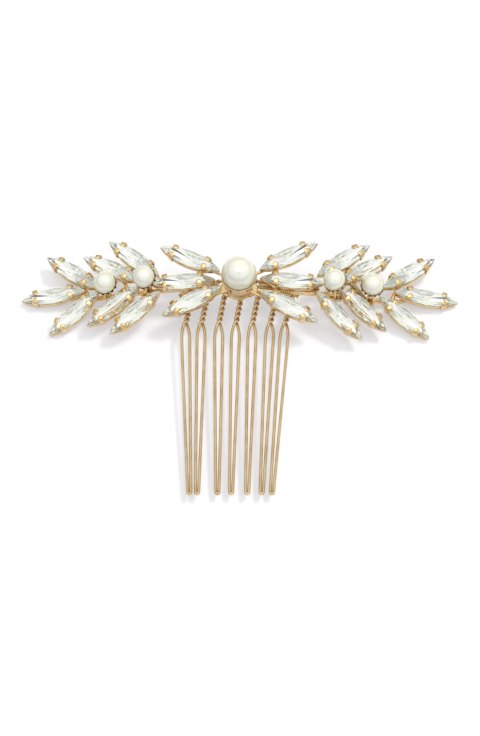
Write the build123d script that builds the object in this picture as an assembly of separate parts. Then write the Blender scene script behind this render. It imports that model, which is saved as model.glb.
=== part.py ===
from build123d import *
import math
import os

# Decorative hair comb, in millimetres. X runs along the ornament, the teeth point to -Y and Z is up.
# The comb lies on its back: the outermost stones' settings touch the floor and the teeth hang just above it.
# The model is built around the centre pearl's axis and moved to its resting place at the end.

# ---- driving dimensions -------------------------------------------------------------------------
ARCH_RADIUS = 107.0        # the ornament bows over the head with this radius
STONE_PLANE = 15.8         # height of the stones' girdles at the middle of the arch

STONE_LENGTH = 15.8        # boat-shaped (navette) glass stone
STONE_WIDTH = 4.3
GIRDLE_HALF = 0.1          # half the thickness of the stone's widest band
CROWN_HEIGHT = 0.95        # table above the girdle's middle
PAVILION_DEPTH = 1.3       # point below the girdle's middle
TABLE_LENGTH = 11.0
TABLE_WIDTH = 2.3
GIRDLE_POINTS = 16

SETTING_LENGTH = 16.1      # outside of the metal cup at the rim
SETTING_WIDTH = 4.6
FOOT_LENGTH = 15.3         # outside of the cup at its floor
FOOT_WIDTH = 4.1
SETTING_DEPTH = 1.7        # floor's underside below the girdle's middle
RIM_BELOW = 0.25           # the stone sits on the rim, which lies below its girdle
FLOOR_THICKNESS = 0.3
WELL_LENGTH = 14.3         # hollow under the stone
WELL_WIDTH = 3.9

PRONG_WIDTH = 1.0
PRONG_THICKNESS = 0.34
PRONG_AT = 4.4             # distance of each claw from the setting's middle, lengthwise
PRONG_REACH = 1.3          # how far the claw folds in over the crown
PRONG_SLOPE = 40.0         # degrees, the crown's slope under the claw
PRONG_GAP = 0.13           # room between claw and crown

CENTRE_PEARL = 8.4         # diameter
CENTRE_PEARL_RISE = 4.2    # pearl's middle above the stone plane
SMALL_PEARL = 5.4
SMALL_PEARL_RISE = 4.2
PEG_RADIUS = 0.45
PEG_CLEARANCE = 0.05

CUP_RIM_RADIUS = 4.1
CUP_RIM_WIRE = 0.18
CUP_WALL = 0.35
CUP_FOOT_RADIUS = 3.0
CUP_FLANGE = 0.35          # width of the flange round the foot
CUP_BELOW_PEARL = 1.7      # rim below the pearl's middle

CROWN_CUP_RADIUS = 2.7
CROWN_CUP_FOOT = 1.25
CROWN_CUP_TOP = -1.0       # serrated edge, from the small pearl's middle
CROWN_CUP_BOTTOM = -3.15
CROWN_TEETH = 14
CUP_STEM_RADIUS = 0.7

PLATE_HALF_LENGTH = 4.9    # oval plate, narrow along Y so that the cup's flange hides it
PLATE_HALF_WIDTH = 2.5
PLATE_TOP = -3.2           # from the stone plane
PLATE_THICKNESS = 1.0
PLATE_FLAT = 4.6           # the plate's two flats, where the branch wires butt against it
ARM_RADIUS = 0.5
CUP_ARM_RADIUS = 0.36
CUP_ARM_START = (3.0, 13.3)  # the arms leave the cup's wall at this radius and height
CUP_ARM_TURN = {"upper": 22, "lower": 0}  # degrees nearer to +Y than the stone they carry
PAD_RADIUS = 1.2
PAD_THICKNESS = 0.5
PAD_INWARD = 2.6           # the solder pad sits this far inward of a setting's middle

BRANCH_RADIUS = 0.65
BRANCH_BELOW = 3.9         # backbone wire below the arch of girdles
BRANCH_END = 37.0
FLAT_SIZE = 1.7            # flats on the backbone, for the small cups' stems
FLAT_THICKNESS = 0.9
STEM_SLANT = 2.0           # a stem leaves the backbone this far nearer the middle than its pad

WIRE = 0.35                # comb wire radius
TINE_APEX_Y = -8.3         # where the two legs come together
TINE_APEX_Z = 9.3
TINE_TIP_Y = -52.6
TINE_TIP_LIFT = 2.2        # gap under the teeth's tips, when the outer settings stand on the floor
LOOP_HALF_WIDTH = 0.98     # legs' centre line, at the widest
LOOP_WIDEST_AT = 3.6       # from the apex
TIP_HALF_WIDTH = 0.37
TWIST_RADIUS = 0.36
TWIST_PITCH = 2.9
EYE_RADIUS = 1.0           # ring of wire round the rail
NECK_LEAN = 2.2            # the twisted neck leans this far to +X on its way to the rail

RAIL_WIRE = 0.3
RAIL_HALF_SPAN = 14.4
RAIL_Y = 3.7               # at the middle
RAIL_BOW = 3.7             # its ends are this far nearer the teeth
RAIL_Z = 10.1
RAIL_DROP = 1.6

LASHING_WIRE = 0.25
LASHING_TURNS = 5
LASHING_SLACK = 0.15       # room inside a turn, because rail and branch aren't parallel

# Each setting's middle: across, along, lift above the arch; then where its outer tip points
# (degrees from +X) and how far it droops towards that tip. Placed by hand, as on the bench.
SETTINGS = {
    "left_upper": (-11.9, 6.7, 0.3, 155, 2),
    "left_middle": (-13.7, 1.0, -0.6, 179, 9),
    "left_lower": (-11.5, -4.2, -1.2, 203, 12),
    "right_upper": (12.1, 7.3, 0.5, 27, 0),
    "right_middle": (13.0, 1.2, -0.7, 0, 10),
    "right_lower": (12.0, -5.6, -1.2, -26, 12),
    "left_leaf_1": (-25.5, 7.7, 0.9, 141, 3),
    "left_leaf_2": (-31.0, 5.8, 0.8, 152, 7),
    "left_leaf_3": (-40.6, 6.1, 1.5, 144, 6),
    "left_leaf_4": (-45.3, 0.7, 1.55, 185, 11),
    "left_leaf_5": (-40.1, -4.5, -0.05, 220, 15),
    "left_leaf_6": (-30.5, -4.2, -0.2, 216, 13),
    "left_leaf_7": (-25.2, -6.2, -1.0, 218, 16),
    "right_leaf_1": (25.4, 7.2, 1.1, 35, 4),
    "right_leaf_2": (30.8, 5.6, 0.6, 32, 7),
    "right_leaf_3": (41.5, 6.1, 1.5, 35, 7),
    "right_leaf_4": (45.7, 0.2, 1.7, -6, 11),
    "right_leaf_5": (40.2, -5.7, 0.0, -39, 15),
    "right_leaf_6": (29.9, -4.7, -0.7, -41, 17),
    "right_leaf_7": (24.3, -6.9, -1.6, -44, 19),
}
ON_CUP = ["left_upper", "left_lower", "right_upper", "right_lower"]

# Small pearls: across, along, then the way their cups face (degrees from +X) and how far they tilt to it
SMALL_PEARLS = {
    "left_inner": (-23.0, 0.3, 205, 24),
    "left_outer": (-32.5, 0.2, 215, 16),
    "right_inner": (23.0, -0.6, 160, 22),
    "right_outer": (32.3, -0.6, 60, 14),
}

# Each side's backbone wire lies at its own place along Y.
BRANCH_Y = {"left": 0.6, "right": -0.2}
LASHING_AT = {"left": -12.8, "right": 11.5}

# Teeth: where the legs come together and where the tip ends, across the comb
TINES = [(-13.0, -11.7), (-9.1, -9.9), (-4.9, -5.1), (-0.8, -1.9), (3.2, 1.9), (7.5, 5.3), (11.1, 7.7)]


# ---- helpers ------------------------------------------------------------------------------------
def arch(x):
    """Height of the arch of girdles at x."""
    return STONE_PLANE - x * x / (2 * ARCH_RADIUS)


def navette(length, width):
    """A boat-shaped face: two equal arcs that meet at the tips."""
    upper = ThreePointArc((-length / 2, 0), (0, width / 2), (length / 2, 0))
    lower = ThreePointArc((length / 2, 0), (0, -width / 2), (-length / 2, 0))
    return make_face([upper, lower])


def navette_half_width(length, width, x):
    """Half the width of a navette at x."""
    a, b = length / 2, width / 2
    radius = (a * a + b * b) / (2 * b)
    return math.sqrt(max(radius * radius - x * x, 0)) - (radius - b)


def rod(start, end, radius):
    """A round rod between two points."""
    a, b = Vector(*start), Vector(*end)
    return Plane(origin=a, z_dir=b - a) * Cylinder(radius, (b - a).length, align=(Align.CENTER, Align.CENTER, Align.MIN))


def fuse(pieces):
    """One solid from pieces that overlap, joined one after the other."""
    whole = pieces[0]
    for piece in pieces[1:]:
        whole = whole + piece
    return whole


def setting_place(name):
    """The setting's own frame: X to its outer tip, Z up out of the stone's table."""
    x, y, lift, heading, droop = SETTINGS[name]
    return Pos(x, y, arch(x) + lift) * Rot(0, 0, heading) * Rot(0, droop, 0)


def pad_points(name):
    """Where a setting's solder pad touches the floor, and the middle of the pad's underside."""
    place = setting_place(name)
    top = place * Pos(-PAD_INWARD, 0, -SETTING_DEPTH - PAD_THICKNESS / 2)
    low = place * Pos(-PAD_INWARD, 0, -SETTING_DEPTH - PAD_THICKNESS + 0.1)
    return top, low.position


# ---- stone --------------------------------------------------------------------------------------
def girdle_ring(length, width, count, z):
    """Points of a navette outline, tip to tip and back, evenly spaced in angle."""
    ring = []
    for k in range(count):
        x = length / 2 * math.cos(2 * math.pi * k / count)
        side = 1 if k <= count // 2 else -1
        ring.append((x, side * navette_half_width(length, width, x), z))
    return ring


def make_stone():
    """Faceted navette: band at the girdle, kite and star facets up to the table, point below."""
    n = GIRDLE_POINTS
    top = girdle_ring(STONE_LENGTH, STONE_WIDTH, n, GIRDLE_HALF)
    bottom = girdle_ring(STONE_LENGTH, STONE_WIDTH, n, -GIRDLE_HALF)
    table = girdle_ring(TABLE_LENGTH, TABLE_WIDTH, n // 2, CROWN_HEIGHT)
    point = (0, 0, -PAVILION_DEPTH)
    faces = [table]
    for k in range(n):
        after = (k + 1) % n
        faces.append([bottom[k], bottom[after], top[after], top[k]])
        faces.append([point, bottom[after], bottom[k]])
    for j in range(n // 2):
        before, here, after = top[2 * j - 1], top[2 * j], top[(2 * j + 1) % n]
        corner, following = table[j], table[(j + 1) % (n // 2)]
        faces += [[corner, before, here], [corner, here, after], [corner, after, following]]
    shells = [Face(Wire.make_polygon([Vector(*p) for p in face], close=True)) for face in faces]
    return Solid(Shell(shells))


# ---- setting ------------------------------------------------------------------------------------
def make_prong():
    """A claw: a strip that rises in the wall and folds in over the crown (profile in Y and Z)."""
    slope = math.tan(math.radians(PRONG_SLOPE))
    wall = navette_half_width(SETTING_LENGTH, SETTING_WIDTH, PRONG_AT)
    stone = navette_half_width(STONE_LENGTH, STONE_WIDTH, PRONG_AT)
    inner = max(wall - PRONG_THICKNESS + 0.04, stone + 0.08)
    fold = GIRDLE_HALF + (stone - inner) * slope + PRONG_GAP / math.cos(math.radians(PRONG_SLOPE))
    tip = inner - PRONG_REACH
    rise = PRONG_REACH * slope
    thick = PRONG_THICKNESS / math.cos(math.radians(PRONG_SLOPE))
    outer = inner + PRONG_THICKNESS
    profile = [(outer, -0.9), (outer, fold + thick * 0.55), (outer - 0.16, fold + thick * 0.95),
               (tip + 0.1, fold + rise + thick), (tip, fold + rise), (inner, fold), (inner, -0.9)]
    face = make_face(Polyline([(0, y, z) for y, z in profile], close=True))
    return Pos(-PRONG_WIDTH / 2, 0, 0) * extrude(face, PRONG_WIDTH, dir=(1, 0, 0))


def make_setting():
    """Pressed boat-shaped cup: tapering wall, a well under the stone and four claws."""
    wall = loft([Pos(0, 0, -SETTING_DEPTH) * navette(FOOT_LENGTH, FOOT_WIDTH),
                 Pos(0, 0, -RIM_BELOW) * navette(SETTING_LENGTH, SETTING_WIDTH)], ruled=True)
    well_depth = SETTING_DEPTH - FLOOR_THICKNESS
    well = Pos(0, 0, -well_depth) * extrude(navette(WELL_LENGTH, WELL_WIDTH), well_depth)
    prong = make_prong()
    turn = math.degrees(math.asin(PRONG_AT / ((SETTING_LENGTH ** 2 + SETTING_WIDTH ** 2) / (4 * SETTING_WIDTH))))
    wall_y = navette_half_width(SETTING_LENGTH, SETTING_WIDTH, PRONG_AT)
    claws = []
    for sx in (1, -1):
        turned = Pos(sx * PRONG_AT, wall_y, 0) * Rot(0, 0, -sx * turn) * Pos(0, -wall_y, 0) * prong
        claws += [turned, Rot(0, 0, 180) * turned]
    return fuse([wall - well] + claws)


# ---- pearls and their cups ----------------------------------------------------------------------
def make_pad(name):
    """The round solder pad that touches the underside of a setting."""
    return pad_points(name)[0] * Cylinder(PAD_RADIUS, PAD_THICKNESS)


def make_pearl(diameter):
    """A pearl, half drilled from below for the peg."""
    bore = Cylinder(PEG_RADIUS + PEG_CLEARANCE, diameter / 2 + 1.0, align=(Align.CENTER, Align.CENTER, Align.MIN))
    return Sphere(diameter / 2) - Pos(0, 0, -diameter / 2) * bore


def make_peg(diameter):
    """The peg from 2.6 mm below a pearl's middle up into its bore."""
    return Pos(0, 0, -diameter / 2 - 0.5) * Cylinder(PEG_RADIUS, diameter / 2 + 1.2,
                                                     align=(Align.CENTER, Align.CENTER, Align.MIN))


def make_centre_cup():
    """Tall cup: flange, tapering wall, rolled rim, inner shoulder and peg, with an arm and a pad for each of
    four stones round it."""
    foot = STONE_PLANE + PLATE_TOP - (STONE_PLANE + CENTRE_PEARL_RISE)
    rim = -CUP_BELOW_PEARL
    under_pearl = -CENTRE_PEARL / 2
    outline = [(0, foot), (CUP_FOOT_RADIUS + CUP_FLANGE, foot), (CUP_FOOT_RADIUS + CUP_FLANGE, foot + 0.5),
               (CUP_FOOT_RADIUS, foot + 0.5), (CUP_RIM_RADIUS, rim), (CUP_RIM_RADIUS - CUP_WALL / 2, rim),
               (CUP_FOOT_RADIUS - CUP_WALL, foot + 1.0), (1.3, foot + 1.0), (1.3, under_pearl - 0.5),
               (0.9, under_pearl - 0.05), (0, under_pearl - 0.05)]
    body = revolve(make_face(Polyline([(r, 0, z) for r, z in outline], close=True)), Axis.Z)
    roll = Pos(0, 0, rim) * Torus(CUP_RIM_RADIUS, CUP_RIM_WIRE)
    cup = Pos(0, 0, STONE_PLANE + CENTRE_PEARL_RISE) * fuse([body, roll, make_peg(CENTRE_PEARL)])
    pieces = [cup]
    for name in ON_CUP:
        low = pad_points(name)[1]
        radius, height = CUP_ARM_START
        side, row = name.split("_")
        turn = CUP_ARM_TURN[row] if side == "right" else -CUP_ARM_TURN[row]
        angle = math.atan2(low.Y, low.X) + math.radians(turn)
        start = (radius * math.cos(angle), radius * math.sin(angle), height)
        pieces += [rod(start, tuple(low), CUP_ARM_RADIUS), make_pad(name)]
    return fuse(pieces)


def make_crown():
    """Crown cup in its pearl's frame: flared serrated wall and peg."""
    floor = CROWN_CUP_BOTTOM + 0.4
    outline = [(0, CROWN_CUP_BOTTOM), (CROWN_CUP_FOOT, CROWN_CUP_BOTTOM), (CROWN_CUP_RADIUS + 0.25, CROWN_CUP_TOP),
               (CROWN_CUP_RADIUS - 0.05, CROWN_CUP_TOP), (CROWN_CUP_FOOT + 0.35, floor), (0, floor)]
    body = revolve(make_face(Polyline([(r, 0, z) for r, z in outline], close=True)), Axis.Z)
    for k in range(CROWN_TEETH):
        notch = Pos(CROWN_CUP_RADIUS, 0, CROWN_CUP_TOP) * Rot(45, 0, 0) * Box(1.4, 0.7, 0.7)
        body = body - Rot(0, 0, 360 / CROWN_TEETH * k) * notch
    return body + make_peg(SMALL_PEARL)


def pearl_place(name):
    """A small pearl's own frame: Z out of its cup's mouth."""
    x, y, facing, tilt = SMALL_PEARLS[name]
    return Pos(x, y, arch(x) + SMALL_PEARL_RISE) * Rot(0, 0, facing) * Rot(0, tilt, 0)


def stem_foot(name):
    """Where a small cup's upright stem stands on the backbone: below the middle of the cup's floor."""
    under = pearl_place(name) * Pos(0, 0, CROWN_CUP_BOTTOM + 0.3)
    return under.position.X, under.position.Y, cup_foot_height(under.position.X)


def make_small_cup(name):
    """Crown cup turned to its pearl, on an upright stem."""
    x, y, z = stem_foot(name)
    under = pearl_place(name) * Pos(0, 0, CROWN_CUP_BOTTOM + 0.3)
    return pearl_place(name) * make_crown() + rod((x, y, z), tuple(under.position), CUP_STEM_RADIUS)


# ---- frame under the stones ---------------------------------------------------------------------
def make_centre_plate():
    """Oval plate under the centre cup, with a flat at each end that a backbone wire butts against."""
    low = STONE_PLANE + PLATE_TOP - PLATE_THICKNESS
    oval = extrude(Ellipse(PLATE_HALF_LENGTH, PLATE_HALF_WIDTH), PLATE_THICKNESS)
    return Pos(0, 0, low) * (oval & Box(2 * PLATE_FLAT, 4 * PLATE_HALF_WIDTH, 4 * PLATE_THICKNESS))


def branch_height(x):
    """Height of the backbone wire's middle."""
    return arch(x) - BRANCH_BELOW


def cup_foot_height(x):
    """Top of the small flat under a small pearl's cup."""
    return branch_height(x) + BRANCH_RADIUS + 0.25


def make_branch(side):
    """A backbone wire that follows the arch, with a stem and pad for each leaf and flats for the cups."""
    sign = -1 if side == "left" else 1
    y = BRANCH_Y[side]
    start, end = PLATE_FLAT - 0.6, BRANCH_END
    half = (start + end) / 2
    path = ThreePointArc((sign * start, y, branch_height(start)), (sign * half, y, branch_height(half)),
                         (sign * end, y, branch_height(end)))
    wire = sweep(Plane(path @ 0, z_dir=path % 0) * Circle(BRANCH_RADIUS), path=path)
    wire = wire - Box(2 * PLATE_FLAT, 100, 100)
    pieces = [wire, Pos(sign * end, y, branch_height(end)) * Sphere(BRANCH_RADIUS)]
    for name in SETTINGS:
        if name.startswith(side) and name not in ON_CUP:
            low = pad_points(name)[1]
            foot = min(abs(low.X) - STEM_SLANT, BRANCH_END)
            pieces += [rod((sign * foot, y, branch_height(foot)), tuple(low), ARM_RADIUS), make_pad(name)]
    for name in SMALL_PEARLS:
        if name.startswith(side):
            foot_x, foot_y, top = stem_foot(name)
            flat = Box(FLAT_SIZE, FLAT_SIZE + abs(foot_y - y), FLAT_THICKNESS)
            pieces.append(Pos(foot_x, (foot_y + y) / 2, top - FLAT_THICKNESS / 2) * flat)
    return fuse(pieces)


# ---- comb ---------------------------------------------------------------------------------------
def rail_path():
    """The rail's bowed centre line."""
    ends_y, ends_z = RAIL_Y - RAIL_BOW, RAIL_Z - RAIL_DROP
    return ThreePointArc((-RAIL_HALF_SPAN, ends_y, ends_z), (0, RAIL_Y, RAIL_Z), (RAIL_HALF_SPAN, ends_y, ends_z))


def make_rail():
    """Two strands of wire, one on the other, that the teeth hang on."""
    path = rail_path()
    across = Vector(0, -RAIL_DROP, RAIL_BOW).normalized() * RAIL_WIRE
    strands = []
    for way in (1, -1):
        strand = Pos(across.X * way, across.Y * way, across.Z * way) * path
        strands.append(sweep(Plane(strand @ 0, z_dir=strand % 0) * Circle(RAIL_WIRE), path=strand))
    return Compound(children=strands)


def rail_point(x):
    """Point and direction of the rail at x."""
    path = rail_path()
    low, high = 0.0, 1.0
    for _ in range(40):
        mid = (low + high) / 2
        if (path @ mid).X < x:
            low = mid
        else:
            high = mid
    return path @ low, path % low


def make_tine(apex_x, tip_x):
    """One tooth: a hairpin of wire whose two ends are twisted together and hooked round the rail."""
    eye, along = rail_point(apex_x + NECK_LEAN)
    apex = Vector(apex_x, TINE_APEX_Y, TINE_APEX_Z)
    tip = Vector(tip_x, TINE_TIP_Y, TIP_Z)
    length = (apex - tip).length
    legs_side = Vector(1, 0, 0) - (apex - tip).normalized() * Vector(1, 0, 0).dot((apex - tip).normalized())
    legs = Plane(origin=apex, x_dir=legs_side, z_dir=legs_side.cross(apex - tip))

    straight = length - TIP_HALF_WIDTH
    wide, narrow, top = LOOP_HALF_WIDTH, TIP_HALF_WIDTH, TWIST_RADIUS
    lean = Vector(wide - narrow, straight - LOOP_WIDEST_AT)
    right_arc = TangentArc([(wide, -LOOP_WIDEST_AT), (top, 0)], tangent=(lean.X, lean.Y))
    right_leg = Line((wide, -LOOP_WIDEST_AT), (narrow, -straight))
    bend = TangentArc([(narrow, -straight), (-narrow, -straight)], tangent=(-lean.X, -lean.Y))
    left_leg = Line((-narrow, -straight), (-wide, -LOOP_WIDEST_AT))
    left_arc = TangentArc([(-wide, -LOOP_WIDEST_AT), (-top, 0)], tangent=(-lean.X, lean.Y))
    outline = Wire([right_arc, right_leg, bend, left_leg, left_arc])
    hairpin = sweep(Plane(outline @ 0, z_dir=outline % 0) * Circle(WIRE), path=outline)

    up = eye - apex
    neck_height = up.length - EYE_RADIUS
    helix = Helix(pitch=TWIST_PITCH, height=neck_height, radius=TWIST_RADIUS)
    strand = sweep(Plane(helix @ 0, z_dir=helix % 0) * Circle(WIRE), path=helix, is_frenet=True)
    neck = Plane(origin=apex, x_dir=legs_side, z_dir=up)
    ring = Plane(origin=eye, z_dir=along) * Torus(EYE_RADIUS, WIRE)
    ball = Sphere(TWIST_RADIUS)
    return fuse([legs * hairpin, legs * Pos(top, 0, 0) * ball, legs * Pos(-top, 0, 0) * ball,
                 neck * strand, neck * Rot(0, 0, 180) * strand, ring])


def make_lashing(side):
    """Turns of thin wire that tie the rail to the backbone wire."""
    x = LASHING_AT[side]
    rail, along = rail_point(x)
    branch = Vector(x, BRANCH_Y[side], branch_height(x))
    up = branch - rail
    middle_way = along + Vector(1, 0, 0)
    reach = BRANCH_RADIUS + LASHING_WIRE + LASHING_SLACK
    frame = Plane(origin=(rail + branch) * 0.5, x_dir=up, z_dir=middle_way.cross(up).cross(up) * -1)
    loop = SlotCenterToCenter(up.length, 2 * reach).wire()
    turns = []
    for k in range(LASHING_TURNS):
        offset = (k - (LASHING_TURNS - 1) / 2) * 2.04 * LASHING_WIRE
        turn = sweep(Plane(loop @ 0, z_dir=loop % 0) * Circle(LASHING_WIRE), path=loop)
        turns.append(frame * Pos(0, 0, offset) * turn)
    return Compound(children=turns)


# ---- assembly -----------------------------------------------------------------------------------
def settings_low():
    """The lowest corner of any setting, which rests on the floor."""
    foot = make_setting()
    return min((setting_place(name) * foot).bounding_box().min.Z for name in SETTINGS)


FLOOR = settings_low()
TIP_Z = FLOOR + TINE_TIP_LIFT + WIRE

nodes = {}
stone, setting = make_stone(), make_setting()
for name in SETTINGS:
    nodes["setting_" + name] = setting_place(name) * setting
    nodes["stone_" + name] = setting_place(name) * stone

centre = Pos(0, 0, STONE_PLANE + CENTRE_PEARL_RISE)
nodes["pearl_centre"] = centre * make_pearl(CENTRE_PEARL)
nodes["centre_cup"] = make_centre_cup()
for name in SMALL_PEARLS:
    nodes["pearl_" + name] = pearl_place(name) * make_pearl(SMALL_PEARL)
nodes["small_pearl_cups"] = Compound(children=[make_small_cup(name) for name in SMALL_PEARLS])

nodes["centre_plate"] = make_centre_plate()
for side in ("left", "right"):
    nodes["branch_" + side] = make_branch(side)
    nodes["lashing_" + side] = make_lashing(side)
nodes["rail"] = make_rail()
for number, (apex_x, tip_x) in enumerate(TINES, start=1):
    nodes[f"tine_{number}"] = make_tine(apex_x, tip_x)

boxes = [node.bounding_box() for node in nodes.values()]
low = [min(getattr(box.min, axis) for box in boxes) for axis in "XYZ"]
high = [max(getattr(box.max, axis) for box in boxes) for axis in "XYZ"]
rest = Pos(-(low[0] + high[0]) / 2, -(low[1] + high[1]) / 2, -low[2])
print("moved by", rest.position, "size", [round(b - a, 2) for a, b in zip(low, high)])

os.makedirs("parts", exist_ok=True)
for name, node in nodes.items():
    export_step(rest * node, f"parts/{name}.step")
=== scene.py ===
import math

import bmesh
import bpy
import numpy as np
from mathutils import Matrix, Vector


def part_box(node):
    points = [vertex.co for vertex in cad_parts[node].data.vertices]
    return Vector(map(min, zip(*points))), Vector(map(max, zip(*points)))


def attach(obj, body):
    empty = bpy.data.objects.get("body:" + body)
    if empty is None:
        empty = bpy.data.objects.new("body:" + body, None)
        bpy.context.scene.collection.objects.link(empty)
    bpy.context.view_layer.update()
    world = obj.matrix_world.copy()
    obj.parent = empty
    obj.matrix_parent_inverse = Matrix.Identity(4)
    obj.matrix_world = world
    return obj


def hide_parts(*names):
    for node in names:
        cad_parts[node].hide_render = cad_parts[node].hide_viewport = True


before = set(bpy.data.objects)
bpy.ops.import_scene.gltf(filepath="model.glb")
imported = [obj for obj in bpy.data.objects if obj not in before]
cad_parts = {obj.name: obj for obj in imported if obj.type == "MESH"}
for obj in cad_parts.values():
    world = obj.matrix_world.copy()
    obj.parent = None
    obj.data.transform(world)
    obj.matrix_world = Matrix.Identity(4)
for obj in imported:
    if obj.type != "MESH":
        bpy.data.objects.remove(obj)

TAU = 2 * math.pi
MM = 0.001                      # every size below is in millimetres, and pieces are written in metres
BODY = "root"
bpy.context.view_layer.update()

SIDES = ("left", "right")
AROUND = ("upper", "middle", "lower")
STONES = [f"{side}_{row}" for side in SIDES for row in AROUND]
STONES += [f"{side}_leaf_{k}" for side in SIDES for k in range(1, 8)]
SMALL_PEARLS = [f"{side}_{place}" for side in SIDES for place in ("inner", "outer")]
TEETH = range(1, 8)


# ---- camera ------------------------------------------------------------------------------------
VIEW_TILT = 62.0                # degrees above the table
LENS = 150.0
SENSOR = 36.0
RENDER_HEIGHT = 736
SCALE = 25 / 6                  # units of the render's height to a millimetre at the ornament
AIM_ACROSS = 0.24               # the point looked at, from the centre pearl's middle
AIM_DOWN = 22.8


def pearl_middle():
    """Middle of the centre pearl: its box has the full ball on X, Y and at the top."""
    low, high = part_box("pearl_centre")
    radius = (high[0] - low[0]) / 2
    return Vector(((low[0] + high[0]) / 2, (low[1] + high[1]) / 2, high[2] - radius)) / MM


def add_camera():
    """Camera at the viewing tilt, aimed below the centre pearl along the view's own up direction."""
    tilt = math.radians(VIEW_TILT)
    up = Vector((0, math.sin(tilt), math.cos(tilt)))
    back = Vector((0, -math.cos(tilt), math.sin(tilt)))
    aim = pearl_middle() + Vector((AIM_ACROSS, 0, 0)) - up * AIM_DOWN
    distance = RENDER_HEIGHT / SENSOR * LENS / SCALE
    data = bpy.data.cameras.new("camera")
    data.lens = LENS
    data.sensor_width = SENSOR
    data.clip_start = 0.01
    data.clip_end = 20
    camera = bpy.data.objects.new("camera", data)
    bpy.context.collection.objects.link(camera)
    turn = Matrix((Vector((1, 0, 0)), up, back)).transposed()
    camera.matrix_world = Matrix.Translation((aim + back * distance) * MM) @ turn.to_4x4()
    bpy.context.scene.camera = camera


# ---- surfaces ----------------------------------------------------------------------------------
WELD = 0.0005                   # points closer than this are one
CLOSED = 1e-4                   # radius of a ring that closes a pole once it is welded
POLE = 0.01                     # radius at which a turned profile leaves its axis


def unit(vectors):
    """Vectors divided by their lengths."""
    return vectors / np.linalg.norm(vectors, axis=-1, keepdims=True)


def eased(points, rounds):
    """A path with its corners eased: each inner point moves to the mean of itself and its neighbours."""
    points = points.copy()
    for step in range(rounds):
        points[1:-1] = (points[:-2] + 2 * points[1:-1] + points[2:]) / 4
    return points


def grid_faces(rows, columns, round_rows=False, round_columns=False):
    """Quads of a rows x columns grid of points, closed round either way where asked."""
    i = np.arange(rows if round_rows else rows - 1)
    j = np.arange(columns if round_columns else columns - 1)
    i, j = np.meshgrid(i, j, indexing="ij")
    i, j = i.ravel(), j.ravel()
    after_i, after_j = (i + 1) % rows, (j + 1) % columns
    corners = (i * columns + j, i * columns + after_j, after_i * columns + after_j, after_i * columns + j)
    return np.stack(corners, axis=1)


def joined(parts):
    """One point array and one face list from several."""
    points, faces, shift = [], [], 0
    for part_points, part_faces in parts:
        part_points = np.asarray(part_points, float).reshape(-1, 3)
        points.append(part_points)
        faces += [[int(v) + shift for v in face] for face in part_faces]
        shift += len(part_points)
    return np.concatenate(points), faces


def make_piece(name, parts, material, replaces=(), smooth=True):
    """A piece from (points in mm, faces) parts: welded, faces turned outwards, riding on the comb."""
    points, faces = joined(parts)
    mesh = bpy.data.meshes.new(name)
    mesh.from_pydata((points * MM).tolist(), [], faces)
    work = bmesh.new()
    work.from_mesh(mesh)
    bmesh.ops.remove_doubles(work, verts=work.verts, dist=WELD * MM)
    bmesh.ops.dissolve_degenerate(work, edges=work.edges, dist=WELD * MM * 0.5)
    bmesh.ops.recalc_face_normals(work, faces=work.faces)
    work.to_mesh(mesh)
    work.free()
    mesh.polygons.foreach_set("use_smooth", [smooth] * len(mesh.polygons))
    mesh.materials.append(material)
    piece = bpy.data.objects.new(name, mesh)
    bpy.context.collection.objects.link(piece)
    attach(piece, BODY)
    if replaces:
        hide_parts(*replaces)
    return piece


def placed(points, place):
    """Local points carried to a place: its three axes, one to a row, and its middle."""
    axes, middle = place
    return np.asarray(points, float).reshape(-1, 3) @ axes + middle


def tube(path, radius, hint, sides=12, closed=False):
    """A round tube: at each path point a circle stands across the path, turned by a hint direction."""
    path = np.asarray(path, float)
    if closed:
        along = np.roll(path, -1, axis=0) - np.roll(path, 1, axis=0)
    else:
        along = np.gradient(path, axis=0)
    along = unit(along)
    side = unit(np.cross(along, np.broadcast_to(np.asarray(hint, float), path.shape)))
    up = np.cross(side, along)
    radius = np.broadcast_to(np.asarray(radius, float), len(path))[:, None, None]
    angle = np.arange(sides) * TAU / sides
    ring = np.cos(angle)[None, :, None] * side[:, None, :] + np.sin(angle)[None, :, None] * up[:, None, :]
    points = path[:, None, :] + radius * ring
    return points.reshape(-1, 3), grid_faces(len(path), sides, round_rows=closed, round_columns=True)


def capped(faces, rows, sides):
    """A tube's faces with a flat cap at each end."""
    return np.asarray(faces).tolist() + [list(range(sides)), list(range((rows - 1) * sides, rows * sides))]


def round_ends(path, radius, steps=5):
    """Adds a half ball to both ends of a tube's path: points and radii shrink along a quarter circle."""
    path = np.asarray(path, float)
    angle = np.linspace(0, math.pi / 2, steps + 1)[1:]
    ahead = unit(path[-1] - path[-2])
    behind = unit(path[0] - path[1])
    front = path[-1] + radius * np.sin(angle)[:, None] * ahead
    rear = path[0] + radius * np.sin(angle)[::-1, None] * behind
    small = np.maximum(radius * np.cos(angle), CLOSED)
    radii = np.concatenate([small[::-1], np.full(len(path), radius), small])
    return np.concatenate([rear, path, front]), radii


def spun(profile, count, wave=None):
    """A profile of (radius, height) points turned round Z; wave(angle, radius, height) may reshape it."""
    profile = np.asarray(profile, float)
    angle = np.arange(count) * TAU / count
    radius = np.repeat(profile[:, :1], count, axis=1)
    height = np.repeat(profile[:, 1:], count, axis=1)
    if wave:
        radius, height = wave(np.broadcast_to(angle, radius.shape), radius, height)
    points = np.stack([radius * np.cos(angle), radius * np.sin(angle), height], axis=2)
    return points.reshape(-1, 3), grid_faces(len(profile), count, round_columns=True)


# ---- places read from the frame ----------------------------------------------------------------
def node_points(node):
    """A CAD node's points in mm."""
    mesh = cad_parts[node].data
    points = np.empty(len(mesh.vertices) * 3)
    mesh.vertices.foreach_get("co", points)
    return points.reshape(-1, 3) / MM


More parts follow.
